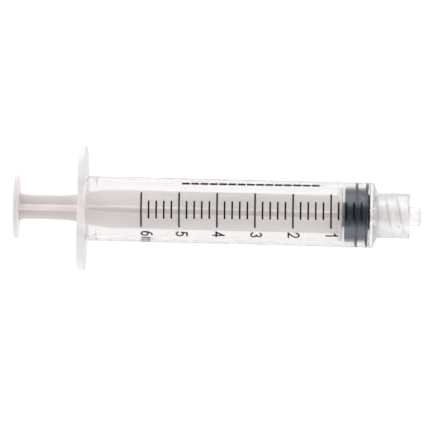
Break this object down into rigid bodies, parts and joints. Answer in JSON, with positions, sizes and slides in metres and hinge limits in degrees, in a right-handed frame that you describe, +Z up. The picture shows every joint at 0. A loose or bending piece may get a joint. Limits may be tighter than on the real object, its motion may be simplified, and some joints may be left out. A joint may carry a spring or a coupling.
{
  "type": "oral syringe",
  "caption": "Disposable dosing syringe with a finger flange, a threaded lock tip and a sliding plunger with a rubber stopper.",
  "frame": {"origin": "bottom centre of the bounding box: on the surface under the flange's lower flat, half way along the syringe with its plunger pushed home", "axes": "+X along the barrel towards the tip, Y along the finger flange, +Z up to the printed scale"},
  "size_m": [0.0892, 0.0274, 0.0168],
  "materials": {
    "clear_polypropylene": "clear to milky moulded polypropylene",
    "white_polypropylene": "natural white moulded polypropylene, satin",
    "black_rubber": "lubricated black rubber, smooth",
    "scale_ink": "black pad-printed ink"
  },
  "bodies": {
    "barrel": {"barrel": "clear_polypropylene"},
    "stopper": {"stopper": "black_rubber"},
    "rod": {"plunger_rod": "white_polypropylene"}
  },
  "joints": [
    {"name": "plunger_slide", "type": "slide", "parent": "barrel", "child": "stopper", "axis": [-1, 0, 0], "range_m": [0, 0.0529]},
    {"name": "rod_twist", "type": "hinge", "parent": "stopper", "child": "rod", "pos_m": [0, 0, 0.0084], "axis": [1, 0, 0], "continuous": true}
  ]
}
